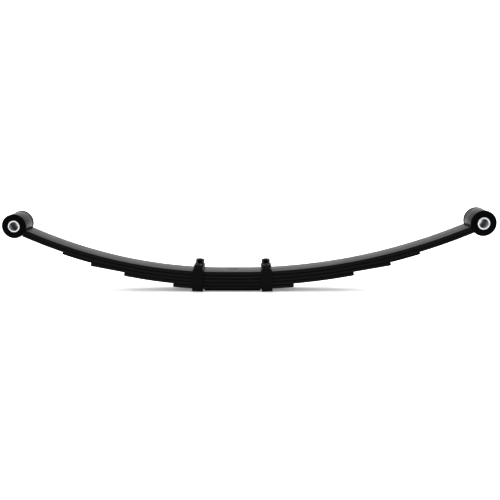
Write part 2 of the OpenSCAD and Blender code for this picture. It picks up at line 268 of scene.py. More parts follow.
def moulded_rubber(name, centre):
    """Black rubber with mould rings 1.4 mm apart round an eye's centre."""
    material, tree, shader = new_material(name)
    place, distance = distance_from(tree, centre)
    cloud = add(tree, "ShaderNodeTexNoise", {
        "Vector": place, "Scale": 60.0, "Detail": 5.0, "Roughness": 0.65})
    tint = add(tree, "ShaderNodeMix", {
        0: cloud.outputs[0], 6: linear("#020203"), 7: linear("#050506")},
        data_type="RGBA")
    tree.links.new(tint.outputs[2], shader.inputs["Base Color"])
    dull = add(tree, "ShaderNodeMapRange", {
        0: cloud.outputs[0], 1: 0.3, 2: 0.7, 3: 0.58, 4: 0.74})
    tree.links.new(dull.outputs[0], shader.inputs["Roughness"])
    grain = add(tree, "ShaderNodeTexNoise", {
        "Vector": place, "Scale": 900.0, "Detail": 3.0})
    ring_bump = add(tree, "ShaderNodeBump", {
        "Height": ridges(tree, distance, 1.4), "Strength": 0.25,
        "Distance": 0.05 * MM})
    grain_bump = add(tree, "ShaderNodeBump", {
        "Height": grain.outputs[0], "Strength": 0.4, "Distance": 0.12 * MM,
        "Normal": ring_bump.outputs[0]})
    tree.links.new(grain_bump.outputs[0], shader.inputs["Normal"])
    shader.inputs["Specular IOR Level"].default_value = 0.06
    return material


rubber = {side: moulded_rubber(f"moulded_rubber_{SIDE_NAME[side]}", eye_centre(side))
          for side in (LEFT, RIGHT)}
print("rubber:", [m.name for m in rubber.values()])

# %% [markdown]
# ## Finish: zinc-plated tube
# Each sleeve is a length of steel tube, cut and squared on a lathe and then zinc
# plated, so it is a pale metal with fine turning rings. Its bore is painted dark
# grey towards the middle: painted shade deep in the tube, fading out towards both
# ends. As a metal it keeps the shader's default IOR.


# %% Zinc-plated tube
BORE_R = {LEFT: 11.0, RIGHT: 11.5}
# how far past the bore the end face begins and is full
FACE_FROM, FACE_FULL = 0.1, 0.5
# how far from the tube's middle the painted shade in the bore starts to fade and is gone
BORE_SHADE_FADES, BORE_SHADE_GONE = 12.0, 30.0


def zinc_plate(name, centre, bore):
    """Plated tube: turning rings on its ends, and painted shade deep in its bore."""
    material, tree, shader = new_material(name)
    place, distance = distance_from(tree, centre)
    cloud = add(tree, "ShaderNodeTexNoise", {
        "Vector": place, "Scale": 120.0, "Detail": 4.0})
    tint = add(tree, "ShaderNodeMix", {
        0: cloud.outputs[0], 6: linear("#b9bcc0"), 7: linear("#d6d8da")},
        data_type="RGBA")
    across = add(tree, "ShaderNodeSeparateXYZ", {0: place}).outputs["Y"]
    end_face = add(tree, "ShaderNodeMapRange", {
        0: distance, 1: (bore + FACE_FROM) * MM,
        2: (bore + FACE_FULL) * MM}).outputs[0]
    inwards = add(tree, "ShaderNodeMath", {0: across}, operation="ABSOLUTE")
    # painted shade: dark deep in the bore's middle, fading out towards both ends
    bore_shade_fade = add(tree, "ShaderNodeMapRange", {
        0: inwards.outputs[0], 1: BORE_SHADE_FADES * MM, 2: BORE_SHADE_GONE * MM}).outputs[0]
    clear_of_bore_shade = add(tree, "ShaderNodeMath", {0: end_face, 1: bore_shade_fade},
                operation="MAXIMUM").outputs[0]
    # the plated colour, with the bore's painted shade mixed in as dark grey
    plated = add(tree, "ShaderNodeMix", {
        0: clear_of_bore_shade, 6: linear("#3c3d3f"), 7: tint.outputs[2]}, data_type="RGBA")
    tree.links.new(plated.outputs[2], shader.inputs["Base Color"])
    dull = add(tree, "ShaderNodeMapRange", {0: clear_of_bore_shade, 3: 0.62, 4: 0.32})
    tree.links.new(dull.outputs[0], shader.inputs["Roughness"])
    turning = add(tree, "ShaderNodeMath", {
        0: ridges(tree, distance, 0.7), 1: ridges(tree, across, 0.9)},
        operation="ADD")
    bump = add(tree, "ShaderNodeBump", {
        "Height": turning.outputs[0], "Strength": 0.3, "Distance": 0.03 * MM})
    tree.links.new(bump.outputs[0], shader.inputs["Normal"])
    shader.inputs["Metallic"].default_value = 1.0
    return material


zinc = {side: zinc_plate(f"zinc_plated_steel_{SIDE_NAME[side]}", eye_centre(side),
                         BORE_R[side]) for side in (LEFT, RIGHT)}
print("zinc:", [m.name for m in zinc.values()])

# %% [markdown]
# ## Finish: nylon liner
# The tip liners are moulded black nylon. They lie between two leaves and only
# their ends show. Nylon is duller than paint, with a fine spark-eroded grain.


# %% Nylon liner
def moulded_nylon(name):
    """Black nylon whose spark-eroded grain is drawn about 1.4 mm across."""
    material, tree, shader = new_material(name)
    place = add(tree, "ShaderNodeTexCoord").outputs["Object"]
    grain = add(tree, "ShaderNodeTexNoise", {
        "Vector": place, "Scale": 700.0, "Detail": 3.0})
    tint = add(tree, "ShaderNodeMix", {
        0: grain.outputs[0], 6: linear("#070708"), 7: linear("#0c0c0c")},
        data_type="RGBA")
    tree.links.new(tint.outputs[2], shader.inputs["Base Color"])
    bump = add(tree, "ShaderNodeBump", {
        "Height": grain.outputs[0], "Strength": 0.4, "Distance": 0.1 * MM})
    tree.links.new(bump.outputs[0], shader.inputs["Normal"])
    shader.inputs["Roughness"].default_value = 0.55
    shader.inputs["Specular IOR Level"].default_value = 0.1
    return material


liner_nylon = moulded_nylon("moulded_black_nylon")
print("liner:", liner_nylon.name)

# %% [markdown]
# ## A bar along a path
# Leaves, liners and clamp straps are all rolled flat bar with rounded edges, bent
# along a line. Each could be extruded and bent by hand, but one Geometry Nodes
# tree makes all of them: it sweeps a rounded section along a path. Three numbers
# on the path's points shape the ends: `narrow` pulls the sides in, and `upper` and
# `lower` say how much of each half of the thickness is left, as a grinder would
# leave it, for cut corners, bevelled tips and thin wedges.


# %% The bar tree
SHAPE_NAMES = ("narrow", "upper", "lower")


def new_tree(name, sizes, others=()):
    """A node group with a geometry in and out, sizes, and other named inputs."""
    tree = bpy.data.node_groups.new(name, "GeometryNodeTree")
    tree.interface.new_socket("Geometry", in_out="INPUT",
                              socket_type="NodeSocketGeometry")
    for label, value in sizes.items():
        socket = tree.interface.new_socket(label, in_out="INPUT",
                                           socket_type="NodeSocketFloat")
        socket.default_value = value
    for label, kind in others:
        tree.interface.new_socket(label, in_out="INPUT", socket_type=kind)
    tree.interface.new_socket("Geometry", in_out="OUTPUT",
                              socket_type="NodeSocketGeometry")
    return tree, add(tree, "NodeGroupInput").outputs


def finish_tree(tree, geometry, material):
    """End a tree the same way each time: real geometry with its material."""
    real = add(tree, "GeometryNodeRealizeInstances", {0: geometry})
    dressed = add(tree, "GeometryNodeSetMaterial", {
        "Geometry": real.outputs[0], "Material": material})
    add(tree, "NodeGroupOutput", {0: dressed.outputs[0]})


def bar_tree():
    """The tree that sweeps a rounded section along a path and shapes its ends."""
    tree, given = new_tree(
        "bar_along_path",
        {"Width": LEAF_W * MM, "Thickness": LEAF_T * MM, "Edge Radius": LEAF_EDGE * MM,
         "Up Side": 1.0},
        [("Across", "NodeSocketVector"), ("Finish", "NodeSocketMaterial")])
    path = add(tree, "GeometryNodeMeshToCurve", {0: given["Geometry"]}).outputs[0]
    level = add(tree, "GeometryNodeSetCurveNormal", {
        0: path, "Normal": given["Across"]}, mode="FREE").outputs[0]
    keep = add(tree, "GeometryNodeCaptureAttribute")
    keep.capture_items.new("VECTOR", "Middle")
    keep.capture_items.new("VECTOR", "Along")
    tree.links.new(level, keep.inputs[0])
    tree.links.new(add(tree, "GeometryNodeInputPosition").outputs[0], keep.inputs[1])
    tree.links.new(add(tree, "GeometryNodeInputTangent").outputs[0], keep.inputs[2])
    section = add(tree, "GeometryNodeCurvePrimitiveQuadrilateral", {
        "Width": given["Width"], "Height": given["Thickness"]}).outputs[0]
    rounded = add(tree, "GeometryNodeFilletCurve", {
        0: section, "Count": 4, "Radius": given["Edge Radius"]},
        mode="POLY").outputs[0]
    swept = add(tree, "GeometryNodeCurveToMesh", {
        "Curve": keep.outputs[0], "Profile Curve": rounded,
        "Fill Caps": True}).outputs[0]
    # each point's own place in the section: sideways and upwards
    offset = add(tree, "ShaderNodeVectorMath", {
        0: add(tree, "GeometryNodeInputPosition").outputs[0], 1: keep.outputs[1]},
        operation="SUBTRACT").outputs[0]
    square = add(tree, "ShaderNodeVectorMath", {
        0: keep.outputs[2], 1: given["Across"]}, operation="CROSS_PRODUCT").outputs[0]
    up = add(tree, "ShaderNodeVectorMath", {
        0: square, "Scale": given["Up Side"]}, operation="SCALE").outputs[0]
    aside, height = (add(tree, "ShaderNodeVectorMath", {
        0: offset, 1: way}, operation="DOT_PRODUCT").outputs["Value"]
        for way in (given["Across"], up))
    # that place, narrowed and held between what is left of the two halves
    narrow, upper, lower = (add(tree, "GeometryNodeInputNamedAttribute", {
        0: name}, data_type="FLOAT").outputs["Attribute"] for name in SHAPE_NAMES)
    half, minus_half = (add(tree, "ShaderNodeMath", {
        0: given["Thickness"], 1: part}, operation="MULTIPLY").outputs[0]
        for part in (0.5, -0.5))
    sideways, top, bottom = (add(tree, "ShaderNodeMath", {
        0: share, 1: length}, operation="MULTIPLY").outputs[0]
        for share, length in ((narrow, aside), (upper, half), (lower, minus_half)))
    lowered = add(tree, "ShaderNodeMath", {0: height, 1: top},
                  operation="MINIMUM").outputs[0]
    upwards = add(tree, "ShaderNodeMath", {0: bottom, 1: lowered},
                  operation="MAXIMUM").outputs[0]
    shaped = keep.outputs[1]
    for way, length in ((given["Across"], sideways), (up, upwards)):
        step = add(tree, "ShaderNodeVectorMath", {
            0: way, "Scale": length}, operation="SCALE").outputs[0]
        shaped = add(tree, "ShaderNodeVectorMath", {
            0: shaped, 1: step}, operation="ADD").outputs[0]
    placed = add(tree, "GeometryNodeSetPosition", {
        "Geometry": swept, "Position": shaped}).outputs[0]
    finish_tree(tree, placed, given["Finish"])
    return tree


BAR = bar_tree()
print("bar tree:", len(BAR.nodes), "nodes")

# %% [markdown]
# ## From a tree to a plain mesh
# A modifier's inputs are known by identifiers, so a name is looked up first. The
# evaluated object is then read back as a plain mesh, which later steps can cut.
# Smooth shading with sharp edges by angle keeps rounded edges soft and cut ends
# crisp.


# %% From a tree to a mesh
def settle(piece):
    """Replace a piece's modifiers by the mesh they make."""
    bpy.context.view_layer.update()
    shown = piece.evaluated_get(bpy.context.evaluated_depsgraph_get())
    mesh = bpy.data.meshes.new_from_object(shown)
    piece.modifiers.clear()
    piece.data = mesh
    return piece


def smooth(piece, sharp_deg=32.0):
    """Smooth faces, with edges sharper than an angle left crisp."""
    mesh = piece.data
    mesh.polygons.foreach_set("use_smooth", [True] * len(mesh.polygons))
    mesh.set_sharp_from_angle(angle=math.radians(sharp_deg))
    return piece


def new_piece(name, mesh):
    piece = bpy.data.objects.new(name, mesh)
    bpy.context.collection.objects.link(piece)
    return piece


def run_tree(piece, tree, values):
    """Give a piece a tree's modifier with named inputs, and settle it."""
    modifier = piece.modifiers.new(tree.name, "NODES")
    modifier.node_group = tree
    names = {item.name: item.identifier for item in tree.interface.items_tree
             if item.in_out == "INPUT"}
    for name, value in values.items():
        modifier[names[name]] = value
    return settle(piece)


def path_mesh(name, stations):
    """A path of points in mm, each with its (narrow, upper, lower)."""
    mesh = bpy.data.meshes.new(name)
    mesh.from_pydata([point * MM for point, _ in stations],
                     [(i, i + 1) for i in range(len(stations) - 1)], [])
    for column, label in enumerate(SHAPE_NAMES):
        values = mesh.attributes.new(label, "FLOAT", "POINT")
        values.data.foreach_set("value", [shape[column] for _, shape in stations])
    return mesh


def tidy(piece):
    """Merge doubles, close the mesh and turn every face outwards."""
    shape = bmesh.new()
    shape.from_mesh(piece.data)
    bmesh.ops.remove_doubles(shape, verts=shape.verts, dist=1e-6)
    bmesh.ops.recalc_face_normals(shape, faces=shape.faces)
    open_edges = sum(not edge.is_manifold for edge in shape.edges)
    shape.to_mesh(piece.data)
    shape.free()
    for attribute in SHAPE_NAMES:
        if attribute in piece.data.attributes:
            piece.data.attributes.remove(piece.data.attributes[attribute])
    return open_edges


def finished(piece):
    """Tidy and smooth a piece, and print its size and its number of faces."""
    open_edges = tidy(piece)
    size = [round((max(column) - min(column)) / MM, 1)
            for column in zip(*(vert.co for vert in piece.data.vertices))]
    print(f"{piece.name}: {size} mm, {len(piece.data.polygons)} faces, "
          f"{open_edges} open")
    return smooth(piece)


def bar(name, stations, material, up_side, width=LEAF_W, thickness=LEAF_T,
        edge=LEAF_EDGE, across=(0.0, 1.0, 0.0)):
    """A bar along a path. up_side is 1, or -1 for a path that runs the other way."""
    return finished(run_tree(new_piece(name, path_mesh(name, stations)), BAR, {
        "Width": width * MM, "Thickness": thickness * MM, "Edge Radius": edge * MM,
        "Up Side": up_side, "Across": across, "Finish": material}))


# %% [markdown]
# ## Stations along a leaf
# A path needs points close together where the shape changes fast, at a tip, and
# may be sparse elsewhere. Each tip is sheared square, its lower edge is bevelled
# so that it slides on the leaf below it, and its corners are rounded off.

# %% Stations along a leaf
STEP = 5.0
WHOLE = (1.0, 1.0, 1.0)
CORNER_R = 4.0
TIP_BEVEL, TIP_BREAK = 2.4, 0.5
TIP_CLEAR = 0.5
TIP_SPACING = (0.0, 0.25, 0.5, 0.9, 1.4, 1.9, 2.4, 3.1, 4.0, 5.0, 6.2, 7.8)


def arc_stations(side, depth, start, stop):
    """Points from one angle to another along an arm."""
    count = max(2, round(abs(stop - start) * (ARM_R[side] + depth) / STEP))
    return [on_arm(side, depth, start + (stop - start) * i / count)
            for i in range(count + 1)]


def tip_shape(left, thickness=LEAF_T, bevel=TIP_BEVEL, corner=CORNER_R):
    """What is left of the section, a distance `left` before the tip."""
    half_w, half_t = LEAF_W / 2, thickness / 2
    inset = corner - math.sqrt(corner ** 2 - max(0.0, corner - left) ** 2)
    crisp = max(0.0, TIP_BREAK - left)
    return (1.0 - inset / half_w, 1.0 - crisp / half_t,
            1.0 - max(crisp, bevel - left) / half_t)


def with_tip(points, shape=tip_shape):
    """Stations for points whose last one is the tip, with close ones added there."""
    ends = [0.0]
    for a, b in zip(points[:-1], points[1:]):
        ends.append(ends[-1] + (b - a).length)
    total = ends[-1]
    stations = [(p, WHOLE) for p, s in zip(points, ends)
                if s < total - TIP_SPACING[-1] - TIP_CLEAR]
    for left in reversed(TIP_SPACING):
        at = total - left
        i = max(k for k in range(len(ends) - 1) if ends[k] <= at)
        point = points[i].lerp(points[i + 1], (at - ends[i]) / (ends[i + 1] - ends[i]))
        stations.append((point, shape(left)))
    return stations


print("a tip keeps", [round(v, 3) for v in tip_shape(0.0)], "of its section")

# %% [markdown]
# ## The middle of each leaf
# A leaf bends when the wheel hits a bump, but only outside the clamps. So each
# leaf is three pieces: a middle that never bends, and two arms, whose seams with
# the middle are hidden inside the clamps. The centre bolt's hole is cut through
# all five middles, and the top one is countersunk for the bolt's head.

# %% The middle of each leaf
LEAF_NAMES = ("main_leaf", "second_leaf", "third_leaf", "fourth_leaf", "fifth_leaf")
BOLT_R, BOLT_HOLE_R, HEAD_R = 6.0, 6.3, 11.8
SINK_CLEAR, CUT_PAST = 0.3, 20.0


def ring_points(radius, z, count):
    """A ring of points about the Z axis, in metres."""
    return [(radius * MM * math.cos(2 * math.pi * i / count),
             radius * MM * math.sin(2 * math.pi * i / count), z * MM)
            for i in range(count)]


def join_rings(shape, rings):
    """Faces between each ring of points and the next."""
    count = len(rings[0])
    for low, high in zip(rings[:-1], rings[1:]):
        for i in range(count):
            j = (i + 1) % count
            shape.faces.new((low[i], low[j], high[j], high[i]))


def cap_ends(shape, rings):
    """A face over the first ring, turned round, and one over the last."""
    shape.faces.new(list(reversed(rings[0])))
    shape.faces.new(rings[-1])


def mesh_from(name, shape):
    """A mesh from a finished bmesh, which is let go."""
    mesh = bpy.data.meshes.new(name)
    shape.to_mesh(mesh)
    shape.free()
    return mesh


def plug(name, outline, count=48):
    """A closed solid about the Z axis: (radius, height) in mm, from the lowest up."""
    shape = bmesh.new()
    rings = [[shape.verts.new(p) for p in ring_points(r, z, count)] for r, z in outline]
    join_rings(shape, rings)
    cap_ends(shape, rings)
    return new_piece(name, mesh_from(name, shape))


def cut(piece, cutter, operation="DIFFERENCE"):
    """Cut one closed solid with another, and settle the result."""
    modifier = piece.modifiers.new("cut", "BOOLEAN")
    modifier.operation = operation
    modifier.object = cutter
    modifier.solver = "EXACT"
    return settle(piece)


def discard(*tools):
    """Remove cutters and patterns once they have done their work."""
    for tool in tools:
        bpy.data.objects.remove(tool)


hole_cutter = plug("hole_cutter", [
    (BOLT_HOLE_R, -CUT_PAST), (BOLT_HOLE_R, TOP_Z + CUT_PAST)])
sink_cutter = plug("sink_cutter", [
    (BOLT_HOLE_R, -CUT_PAST), (BOLT_HOLE_R, TOP_Z - HEAD_R + BOLT_R),
    (HEAD_R + SINK_CLEAR, TOP_Z), (HEAD_R + SINK_CLEAR, TOP_Z + CUT_PAST)])
middles = {}
for level, leaf in enumerate(LEAF_NAMES):
    depth = level * PITCH + MIDDLE
    line = (arc_stations(LEFT, depth, CLAMP_ANGLE[LEFT], 0.0)
            + arc_stations(RIGHT, depth, 0.0, CLAMP_ANGLE[RIGHT]))
    piece = bar(f"{leaf}_middle", [(p, WHOLE) for p in line], leaf_enamel, 1.0)
    middles[leaf] = finished(cut(piece, sink_cutter if level == 0 else hole_cutter))
discard(hole_cutter, sink_cutter)

# %% [markdown]
# ## The arms of the lower leaves
# The second leaf runs out under the eye and ends in a rounded nose, which lies in
# the bend where the main leaf starts its roll. The third leaf's ends are straight,
# and the fourth and fifth are short and follow their arcs to the tip.

# %% The arms of the lower leaves
NOSE_R, NOSE_CORNER, NOSE_FALL = EYE_FILLET - 0.5, 2.0, 0.2
THIRD_BEND = {LEFT: 260.0, RIGHT: 292.0}
THIRD_TIP = {LEFT: 364.0, RIGHT: 408.0}
FOURTH_TIP = {LEFT: 279.0, RIGHT: 313.5}
FIFTH_TIP = {LEFT: 153.5, RIGHT: 159.0}


def arm_line(side, level, bend_angle, straight):
    """A leaf's middle line from its clamp, round its arc and along a straight end."""
    depth = level * PITCH + MIDDLE
    line = arc_stations(side, depth, CLAMP_ANGLE[side], bend_angle)
    if straight:
        out, _ = along(side, bend_angle)
        count = max(2, round(straight / STEP))
        line += [line[-1] + out * (straight * i / count) for i in range(1, count + 1)]
    return line


def arm(side, level, bend_angle, straight, shape=tip_shape):
    """One arm of a lower leaf, from its clamp to its tip."""
    name = f"{LEAF_NAMES[level]}_{SIDE_NAME[side]}_arm"
    line = arm_line(side, level, bend_angle, straight)
    return bar(name, with_tip(line, shape), leaf_enamel, float(side))


def bend_reach(side):
    """How far before the eye's centre the main leaf starts to bend into its roll."""
    return math.sqrt((EYE_R[side] + LEAF_T + EYE_FILLET) ** 2
                     - (EYE_FILLET + MIDDLE + EYE_RISE[side]) ** 2)


def nose_shape(left):
    """The second leaf's end: its upper corner follows the bend above it."""
    narrow, _, _ = tip_shape(left, corner=NOSE_CORNER)
    fall = NOSE_R - math.sqrt(NOSE_R ** 2 - max(0.0, NOSE_R - left) ** 2)
    crisp = max(0.0, TIP_BREAK - left)
    return narrow, 1.0 - (fall + NOSE_FALL) / MIDDLE, 1.0 - crisp / MIDDLE


arms = {}
for side in (LEFT, RIGHT):
    third_bend = angle_at(side, 2 * PITCH, THIRD_BEND[side])
    third_straight = (THIRD_TIP[side] - THIRD_BEND[side]) / math.cos(third_bend)
    arms[side, 1] = arm(side, 1, EYE_ANGLE[side],
                        EYE_STRAIGHT - bend_reach(side) + NOSE_R, nose_shape)
    arms[side, 2] = arm(side, 2, third_bend, third_straight)
    arms[side, 3] = arm(side, 3, angle_at(side, 3 * PITCH, FOURTH_TIP[side]), 0.0)
    arms[side, 4] = arm(side, 4, angle_at(side, 4 * PITCH, FIFTH_TIP[side]), 0.0)

# %% [markdown]
# ## The main leaf's arms and eyes
# The smith heats the main leaf's end, bends it down a little, and rolls it back
# over a mandrel until it touches the leaf's upper face. The path does the same: a
# straight end, a short bend down, then round under, outside and over the eye. The
# seam where the roll's end lies on the leaf stays open, as on the real one.

# %% The main leaf's arms and eyes
ROLL_END_DEG, ROLL_STEP = 2.4, 2.6
ROLL_BEVEL, ROLL_CORNER = 0.5, 0.6


def circle_points(centre, radius, start, stop, out, up):
    """Points on a circle in the plane of out and up, about ROLL_STEP apart."""
    count = max(6, round(abs(stop - start) * radius / ROLL_STEP))
    turns = [start + (stop - start) * i / count for i in range(count + 1)]
    return [centre + out * (radius * math.cos(a)) + up * (radius * math.sin(a))
            for a in turns]


def eye_line(side):
    """The main leaf's middle line from its clamp to the end of its rolled eye."""
    out, up = along(side, EYE_ANGLE[side])
    back, centre = -out, eye_centre(side)
    roll_r = EYE_R[side] + MIDDLE
    bend_r = EYE_FILLET + MIDDLE
    drop = bend_r + EYE_RISE[side]
    reach = bend_reach(side)
    bend_centre = centre + back * reach - up * drop
    meet = math.asin(drop / (roll_r + bend_r))
    line = arm_line(side, 0, EYE_ANGLE[side], EYE_STRAIGHT - reach)
    line += circle_points(bend_centre, bend_r, math.pi / 2, math.pi - meet,
                          back, up)[1:]
    line += circle_points(centre, roll_r, -meet,
                          math.radians(ROLL_END_DEG) - 2 * math.pi, back, up)[1:]
    return line


def roll_end(left):
    """The rolled end is only broken, not bevelled."""
    return tip_shape(left, bevel=ROLL_BEVEL, corner=ROLL_CORNER)


for side in (LEFT, RIGHT):
    stations = with_tip(eye_line(side), roll_end)
    arms[side, 0] = bar(f"main_leaf_{SIDE_NAME[side]}_arm", stations, leaf_enamel,
                        float(side))

# %% [markdown]
# ## Tip liners
# A moulded nylon liner lies between the second leaf and the third leaf's straight
# end, and hooks down past its tip. It starts as a thin wedge: `lower` says at each
# point of its path how far the third leaf lets it reach down.

# %% Tip liners
LINER_T = 5.2
LINER_TIP = {LEFT: 435.0, RIGHT: 481.5}
LINER_TOP = 2 * PITCH - LEAF_GAP + 0.05
LINER_LEAD_DEG, LINER_COUNT = 0.7, 90
LINER_THIN, LINER_CLEAR, LINER_BREAK, LINER_GAP = 0.3, 0.1, 1.2, 0.3
LINER_EDGE, LINER_NARROW = 0.4, 0.99
# where between its neighbours the last wedge point goes, to make the hook steep
HOOK_AT = 0.93


def liner_stations(side):
    """The liner's middle line, and how much of its lower half is there."""
    bend = angle_at(side, 2 * PITCH, THIRD_BEND[side])
    out, up = along(side, bend)
    floor_from = on_arm(side, 2 * PITCH, bend)
    tip = (THIRD_TIP[side] - THIRD_BEND[side]) / math.cos(bend) + LINER_GAP
    start = bend + math.radians(LINER_LEAD_DEG)
    stop = angle_at(side, LINER_TOP, LINER_TIP[side])
    stations, was_past = [], False
    for k in range(LINER_COUNT + 1):
        angle = start + (stop - start) * k / LINER_COUNT
        _, square = along(side, angle)
        top = on_arm(side, LINER_TOP, angle)
        over = (top - floor_from).dot(up) - LINER_CLEAR
        past = (top - square * LINER_T - floor_from).dot(out) > tip
        thick = LINER_T if past else min(LINER_T, max(LINER_THIN, over))
        left = (stop - angle) * (ARM_R[side] + LINER_TOP)
        crisp = max(0.0, LINER_BREAK - left) + (0.0 if past else LINER_CLEAR)
        lower = (thick - crisp - LINER_T / 2) / (LINER_T / 2)
        middle = top - square * (LINER_T / 2)
        if past and not was_past:
            stations[-1] = (stations[-1][0].lerp(middle, HOOK_AT), stations[-1][1])
        stations.append((middle, (LINER_NARROW, 1.0, lower)))
        was_past = past
    return stations


liners = {side: bar(f"{SIDE_NAME[side]}_tip_liner_body", liner_stations(side),
                    liner_nylon, float(side), thickness=LINER_T, edge=LINER_EDGE)
          for side in (LEFT, RIGHT)}

# %% [markdown]
# ## Turned pieces
# Bushes, sleeves, the centre bolt and its nut are round, so each is a closed
# outline turned about an axis. A spin modifier could do it, but two loops give a
# closed mesh with no doubles and with faces that are known to point outwards.


# %% Turned pieces
def turned(name, outline, material, centre=(0.0, 0.0, 0.0), axis="Z", count=96):
    """A closed outline of (radius, height) in mm, turned about an axis."""
    shape = bmesh.new()
    loops = []
    for radius, height in outline:
        ring = []
        for i in range(count):
            a = 2 * math.pi * i / count
            if axis == "Z":
                point = Vector((radius * math.cos(a), radius * math.sin(a), height))
            else:
                point = Vector((radius * math.cos(a), height, radius * math.sin(a)))
            ring.append(shape.verts.new((point + Vector(centre)) * MM))
        loops.append(ring)
    join_rings(shape, loops + loops[:1])
    mesh = mesh_from(name, shape)
    mesh.materials.append(material)
    return finished(new_piece(name, mesh))


def rounded(points, radius, steps=4):
    """Round an outline's corners. points are (a, b); radius is one number or a list."""
    radii = radius if isinstance(radius, (list, tuple)) else [radius] * len(points)
    line = []
    for i, corner in enumerate(points):
        here = Vector(corner)
        before = Vector(points[i - 1]) - here
        after = Vector(points[(i + 1) % len(points)]) - here
        r = radii[i]
        if r <= 0:
            line.append(tuple(here))
            continue
        turn = before.angle(after)
        reach = min(r / math.tan(turn / 2), 0.49 * before.length, 0.49 * after.length)
        a, b = here + before.normalized() * reach, here + after.normalized() * reach
        for k in range(steps + 1):
            t = k / steps
            line.append(tuple(a * (1 - t) ** 2 + here * (2 * t * (1 - t)) + b * t * t))
    return line


print("a rounded square has", len(rounded([(0, 0), (1, 0), (1, 1), (0, 1)], 0.1)),
      "points")

# %% [markdown]
# ## Bushes
# Each eye holds two rubber half bushes, pushed in from the front and the rear. A
# half bush is a barrel in the eye and a thick flange outside it. The flange has a
# rounded rim and a shallow groove round the sleeve, where the mould parted.

# %% Bushes
FLANGE_R = {LEFT: 30.6, RIGHT: 32.7}
SLEEVE_R = {LEFT: 15.0, RIGHT: 16.0}
SEAT_Y = LEAF_W / 2 + 0.1
FACE_Y = 36.5
RUBBER_FIT, HALF_GAP = 0.05, 0.4
GROOVE_IN, GROOVE_OUT, GROOVE_DEEP = 1.0, 3.1, 0.5
bushes = {}
for side in (LEFT, RIGHT):
    inner, barrel = SLEEVE_R[side] + RUBBER_FIT, EYE_R[side] - RUBBER_FIT
    flange = FLANGE_R[side]
    groove_floor = FACE_Y - GROOVE_DEEP
    # the outline's corners, and how round each of them is
    half = rounded(
        [(inner, HALF_GAP), (barrel, HALF_GAP), (barrel, SEAT_Y), (flange, SEAT_Y),
         (flange, FACE_Y), (inner + GROOVE_OUT, FACE_Y),
         (inner + GROOVE_OUT - GROOVE_DEEP, groove_floor),
         (inner + GROOVE_IN + GROOVE_DEEP, groove_floor),
         (inner + GROOVE_IN, FACE_Y), (inner, FACE_Y)],
        [0.0, 0.8, 0.0, 0.9, 1.4, 0.2, 0.2, 0.2, 0.2, 0.3])
    for face, word in ((-1, "front"), (1, "rear")):
        bushes[side, face] = turned(
            f"{SIDE_NAME[side]}_bush_{word}_half", [(r, face * y) for r, y in half],
            rubber[side], eye_centre(side), axis="Y")

# %% [markdown]
# ## Sleeves
# The sleeve is what the hanger bolt clamps, so it stands a little proud of the
# rubber at both ends. Its ends are chamfered outside and broken inside.

# %% Sleeves
SLEEVE_HALF = 37.2
CHAMFER, BREAK = 0.6, 0.5
sleeves = {}
for side in (LEFT, RIGHT):
    outer, bore = SLEEVE_R[side], BORE_R[side]
    tube = [(bore, -SLEEVE_HALF + BREAK), (bore + BREAK, -SLEEVE_HALF),
            (outer - CHAMFER, -SLEEVE_HALF), (outer, -SLEEVE_HALF + CHAMFER),
            (outer, SLEEVE_HALF - CHAMFER), (outer - CHAMFER, SLEEVE_HALF),
            (bore + BREAK, SLEEVE_HALF), (bore, SLEEVE_HALF - BREAK)]
    sleeves[side] = turned(f"{SIDE_NAME[side]}_sleeve_tube", rounded(tube, 0.15, 2),
                           zinc[side], eye_centre(side), axis="Y", count=128)

# %% [markdown]
# ## Centre bolt and its nut
# One bolt holds the five leaves and the seat plate. Its countersunk head lies
# just below the main leaf's face and is sprayed along with it, so it wears the
# leaf's enamel and shows as a faint ring. The round nut below ends in a low
# spigot, which drops into the hole in the axle's spring pad.

# %% Centre bolt and its nut
SPIGOT_R, SPIGOT_H, SPIGOT_LEDGE = 9.0, 1.8, 2.0
SEAT_CLEAR, NUT_CLEAR = 0.1, 0.08
BOLT_LOW, BOLT_POINT = -1.0, 0.7
HEAD_TOP = TOP_Z - 0.2
# the head is a little smaller than its cone, and its top edge is broken
HEAD_LESS, RIM_H, RIM_BREAK, BREAK_H = 0.4, 0.3, 0.3, 0.1
bolt = plug("centre_bolt_shank", [
    (BOLT_R - BOLT_POINT, BOLT_LOW), (BOLT_R, BOLT_LOW + BOLT_POINT),
    (BOLT_R, HEAD_TOP - HEAD_R + BOLT_R),
    (HEAD_R - HEAD_LESS, HEAD_TOP - RIM_H - BREAK_H),
    (HEAD_R - HEAD_LESS, HEAD_TOP - BREAK_H),
    (HEAD_R - HEAD_LESS - RIM_BREAK, HEAD_TOP)], count=72)
bolt.data.materials.append(leaf_enamel)
finished(bolt)
nut_top, nut_bore = SEAT_T - SEAT_CLEAR, BOLT_R + NUT_CLEAR
ledge = SPIGOT_R + SPIGOT_LEDGE
nut_low = turned("centre_nut_spigot", rounded(
    [(nut_bore, nut_top), (nut_bore, -SPIGOT_H), (SPIGOT_R, -SPIGOT_H),
     (SPIGOT_R, 0.0), (ledge, 0.0), (ledge, nut_top)],
    [0.2, 0.6, 0.5, 0.0, 0.3, 0.3]), fastener_black)

# %% [markdown]
# ## Seat plate
# A thin plate under the pack gives the axle a flat seat. Its upper face follows
# the fifth leaf, and slanted tabs on its long edges hold that leaf's sides. It is
# a side outline pulled across the spring, with the edges softened by a bevel.


